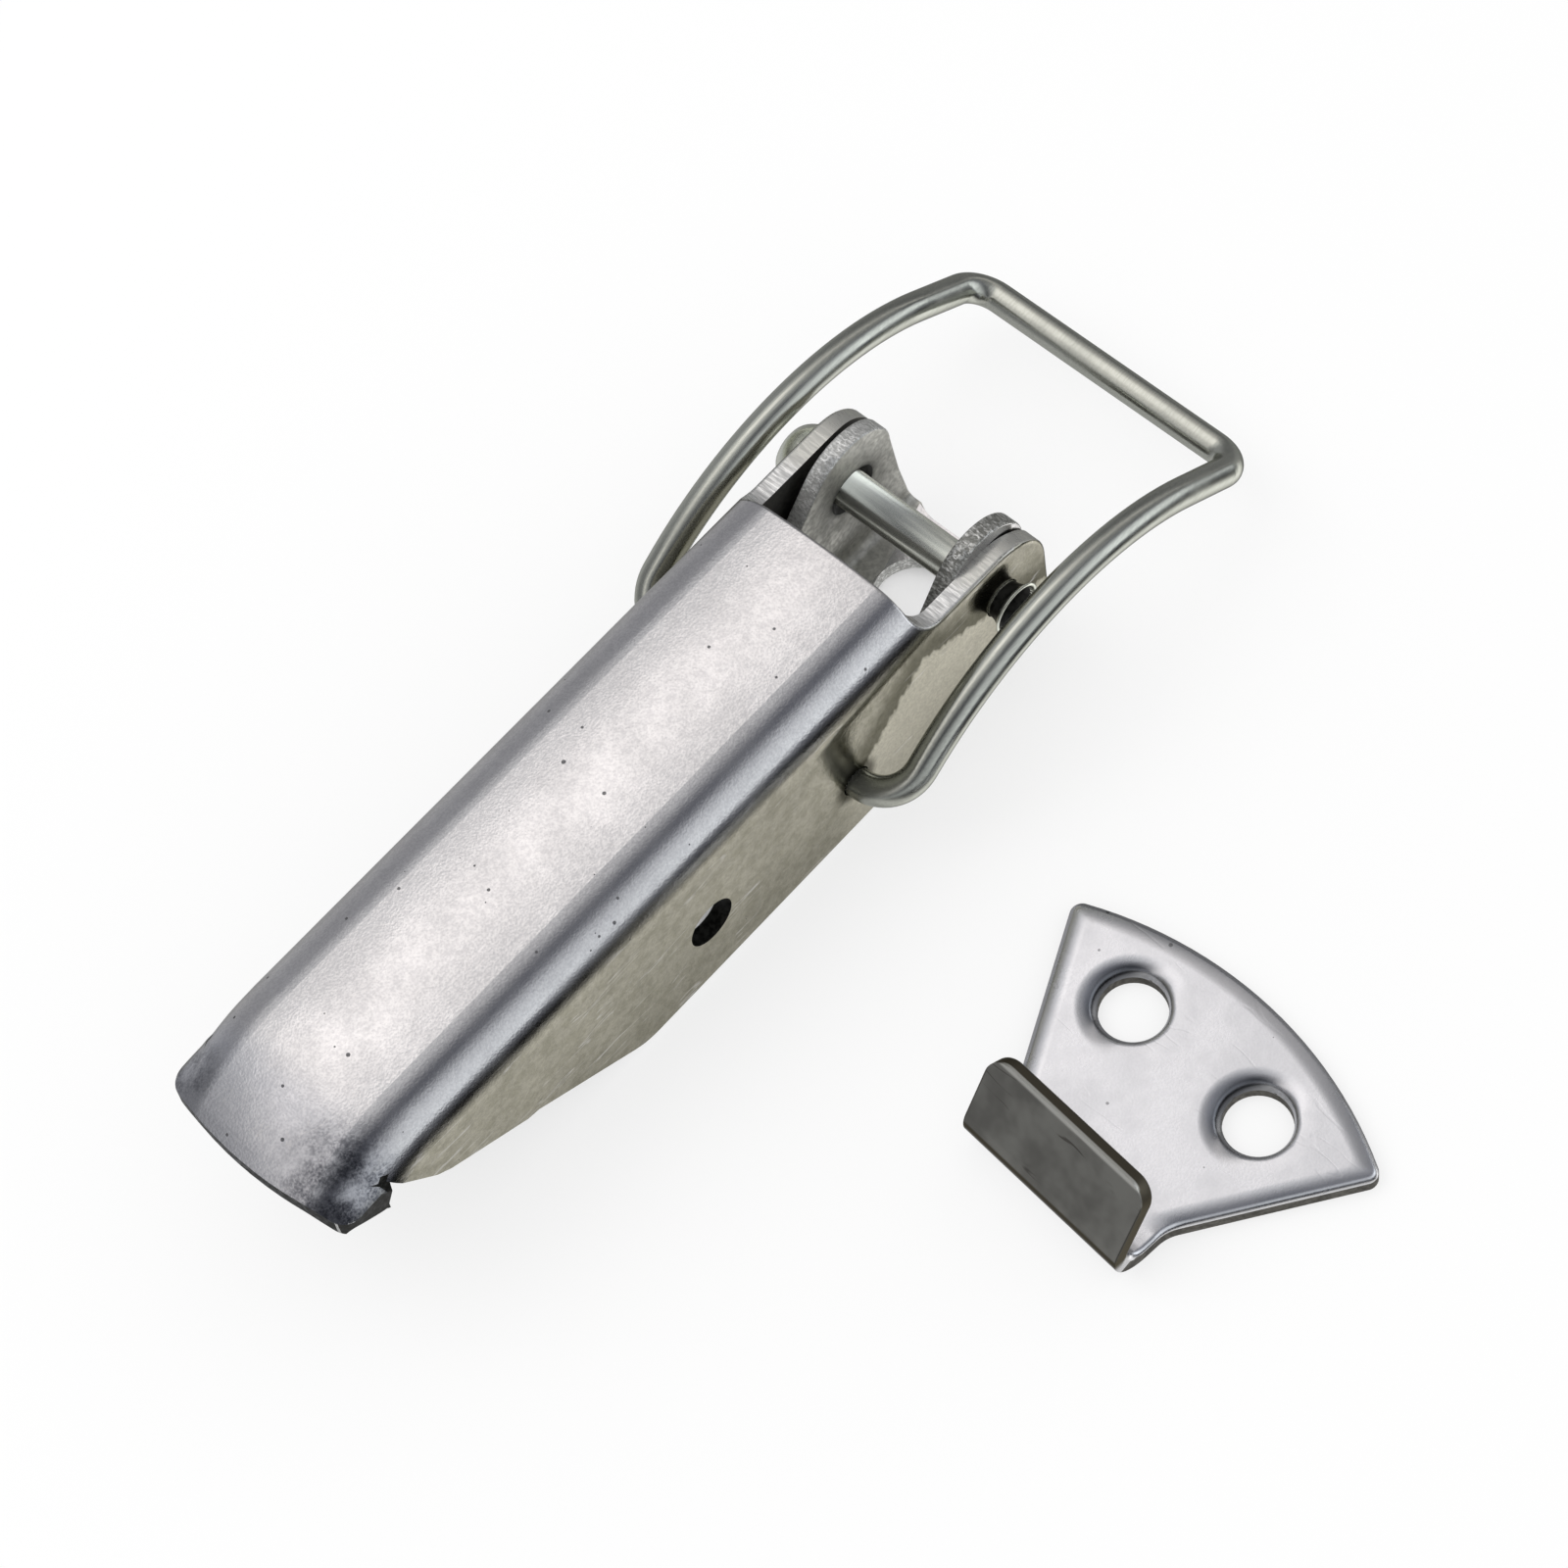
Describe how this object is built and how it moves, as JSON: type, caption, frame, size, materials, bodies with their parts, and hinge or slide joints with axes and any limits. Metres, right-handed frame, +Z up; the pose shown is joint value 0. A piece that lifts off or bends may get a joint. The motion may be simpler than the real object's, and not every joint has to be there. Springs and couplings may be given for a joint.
{
  "type": "over centre toggle latch",
  "caption": "Folded sheet metal toggle latch: long channel lever pivoted on a base bracket, arched wire bail, and a separate hooked catch plate lying beside it.",
  "frame": {"origin": "on the mounting face, directly under the lever pivot, on the middle line of the latch", "axes": "+X from the lever tip towards the bail's bar, +Y to the left of that, +Z up away from the mounting face"},
  "size_m": [0.0766, 0.0588, 0.0161],
  "materials": {
    "plated_sheet": "satin plated",
    "rivet_steel": "satin",
    "wire_steel": "bright drawn wire",
    "catch_sheet": "smooth tumbled"
  },
  "bodies": {
    "base": {"base_plate": "plated_sheet", "pivot_rivet": "rivet_steel", "catch_plate": "catch_sheet"},
    "lever": {"lever": "plated_sheet"},
    "bail": {"bail": "wire_steel"}
  },
  "joints": [
    {"name": "lever_hinge", "type": "hinge", "parent": "base", "child": "lever", "pos_m": [0, 0, 0.0089], "axis": [0, 1, 0], "range_deg": [0, 125]},
    {"name": "bail_hinge", "type": "hinge", "parent": "lever", "child": "bail", "pos_m": [-0.0138, 0, 0.0054], "axis": [0, -1, 0], "range_deg": [-5, 150]}
  ]
}
